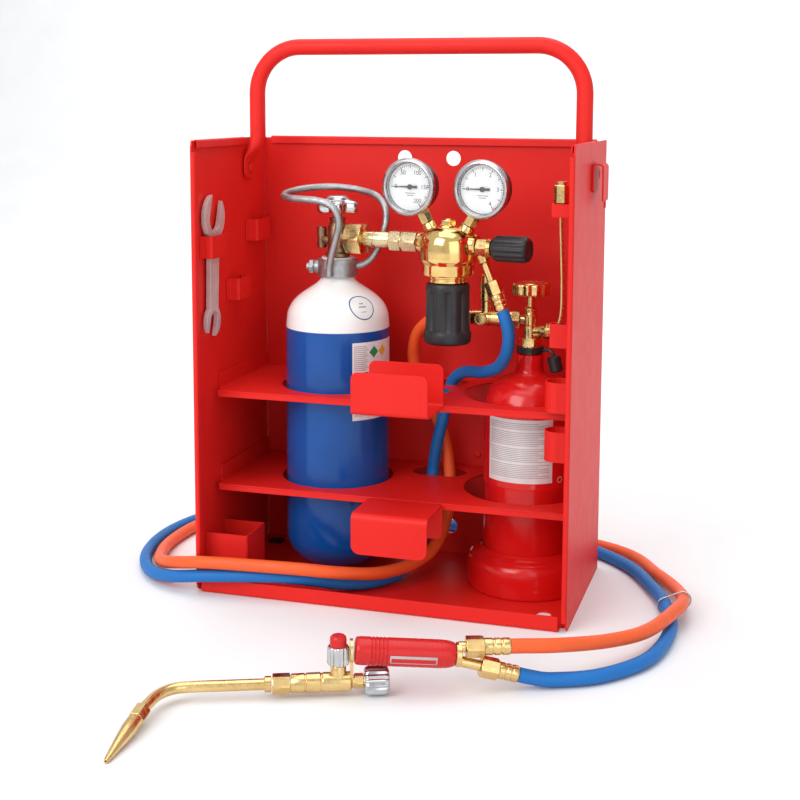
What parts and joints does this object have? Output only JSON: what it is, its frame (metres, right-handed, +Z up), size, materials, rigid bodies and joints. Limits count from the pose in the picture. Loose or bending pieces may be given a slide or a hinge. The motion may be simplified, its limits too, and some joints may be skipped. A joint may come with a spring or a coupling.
{
  "type": "portable gas welding set",
  "caption": "Hand-carried sheet-metal rack with an oxygen cylinder, regulator, small fuel bottle, twin hoses and a brazing torch lying in front.",
  "frame": {"origin": "centre of the rack's flat underside, on the surface the set stands on", "axes": "+Z up, +Y to the rear of the rack, +X to the right seen from the open front"},
  "size_m": [0.5563, 0.613, 0.521],
  "materials": {
    "red_paint": "satin powder coat",
    "red_plastic": "glossy moulded grip",
    "blue_paint": "gloss enamel; the visual model has the white shoulder",
    "brass_metal": "machined and lightly polished",
    "grey_zinc": "zinc plated",
    "black_plastic": "moulded, matt",
    "bright_chrome": "bright plated",
    "dial_white": "printed dial",
    "lens": "clear flat lens",
    "orange_rubber": "ribbed fuel hose cover",
    "blue_rubber": "smooth oxygen hose cover",
    "tool_steel": "forged and plated",
    "copper_tube": "copper nozzle, tarnished"
  },
  "bodies": {
    "rack": {"back_panel": "red_paint", "base_tray": "red_paint", "bottle_foot": "red_paint", "contents_gauge_case": "grey_zinc", "contents_gauge_dial": "dial_white", "contents_gauge_glass": "lens", "fuel_guard": "brass_metal", "fuel_hose": "orange_rubber", "handle_rivet_left": "grey_zinc", "handle_rivet_right": "grey_zinc", "hose_ring": "grey_zinc", "inlet_nut": "brass_metal", "inlet_stem": "brass_metal", "left_side_panel": "red_paint", "lower_hose_hook": "red_paint", "lower_shelf": "red_paint", "outlet_gauge_case": "grey_zinc", "outlet_gauge_dial": "dial_white", "outlet_gauge_glass": "lens", "outlet_valve_body": "brass_metal", "oxygen_cylinder": "blue_paint", "oxygen_hose": "blue_rubber", "oxygen_hose_fitting": "brass_metal", "oxygen_valve_body": "brass_metal", "parts_pocket": "red_paint", "propane_bottle": "red_paint", "propane_valve_body": "brass_metal", "regulator_body": "brass_metal", "right_side_panel": "red_paint", "side_hook": "red_paint", "spanner_clip": "red_paint", "tip_clip_lower": "red_paint", "tip_clip_upper": "red_paint", "tool_clip_lower": "red_paint", "tool_clip_rear": "red_paint", "torch_body": "brass_metal", "torch_clip_lower": "red_paint", "torch_clip_upper": "red_paint", "torch_fuel_fitting": "brass_metal", "torch_handle": "red_plastic", "torch_neck": "brass_metal", "torch_nozzle": "copper_tube", "torch_oxygen_fitting": "brass_metal", "torch_tail": "brass_metal", "torch_union_nut": "brass_metal", "upper_hose_hook": "red_paint", "upper_shelf": "red_paint", "valve_cap": "black_plastic", "valve_guard": "grey_zinc"},
    "carry_handle": {"carry_handle": "red_paint"},
    "oxygen_handwheel": {"oxygen_handwheel": "bright_chrome"},
    "pressure_knob": {"pressure_knob": "black_plastic"},
    "contents_pointer": {"contents_gauge_pointer": "black_plastic"},
    "outlet_pointer": {"outlet_gauge_pointer": "black_plastic"},
    "outlet_knob": {"outlet_valve_knob": "black_plastic"},
    "propane_handwheel": {"propane_handwheel": "brass_metal"},
    "spanner": {"spanner": "tool_steel"},
    "spare_tip": {"spare_tip": "brass_metal"},
    "torch_oxygen_knob": {"torch_oxygen_knob": "bright_chrome"},
    "torch_fuel_knob": {"torch_fuel_knob": "bright_chrome"}
  },
  "joints": [
    {"name": "handle_fold", "type": "hinge", "parent": "rack", "child": "carry_handle", "pos_m": [0, 0.039, 0.395], "axis": [-1, 0, 0], "range_deg": [0, 38]},
    {"name": "oxygen_valve_turn", "type": "hinge", "parent": "rack", "child": "oxygen_handwheel", "pos_m": [-0.072, 0.019, 0.354], "axis": [0, 0, 1], "range_deg": [0, 720]},
    {"name": "pressure_adjust", "type": "hinge", "parent": "rack", "child": "pressure_knob", "pos_m": [0.04481, -0.00371, 0.236], "axis": [0, 0, 1], "range_deg": [0, 900]},
    {"name": "contents_needle", "type": "hinge", "parent": "rack", "child": "contents_pointer", "pos_m": [0.00738, -0.00764, 0.382], "axis": [0.1908, 0.9816, 0], "range_deg": [0, 240], "stiffness_Nm_per_rad": 0.0005},
    {"name": "outlet_needle", "type": "hinge", "parent": "rack", "child": "outlet_pointer", "pos_m": [0.08002, -0.02175, 0.382], "axis": [0.1908, 0.9816, 0], "range_deg": [0, 240], "stiffness_Nm_per_rad": 0.0005},
    {"name": "outlet_valve_turn", "type": "hinge", "parent": "rack", "child": "outlet_knob", "pos_m": [0.09115, -0.01271, 0.328], "axis": [0.9816, -0.1908, 0], "range_deg": [0, 540]},
    {"name": "propane_valve_turn", "type": "hinge", "parent": "rack", "child": "propane_handwheel", "pos_m": [0.1175, 0.0265, 0.2793], "axis": [0, 0, 1], "range_deg": [0, 720]},
    {"name": "spanner_lift", "type": "slide", "parent": "rack", "child": "spanner", "axis": [0, 0, 1], "range_m": [0, 0.035]},
    {"name": "spare_tip_lift", "type": "slide", "parent": "rack", "child": "spare_tip", "axis": [0, 0, 1], "range_m": [0, 0.1]},
    {"name": "torch_oxygen_turn", "type": "hinge", "parent": "rack", "child": "torch_oxygen_knob", "pos_m": [0.0464, -0.25936, 0.0116], "axis": [0.9265, 0.3762, 0], "range_deg": [0, 540]},
    {"name": "torch_fuel_turn", "type": "hinge", "parent": "rack", "child": "torch_fuel_knob", "pos_m": [0.02797, -0.26685, 0.0261], "axis": [0, 0, 1], "range_deg": [0, 540]}
  ]
}
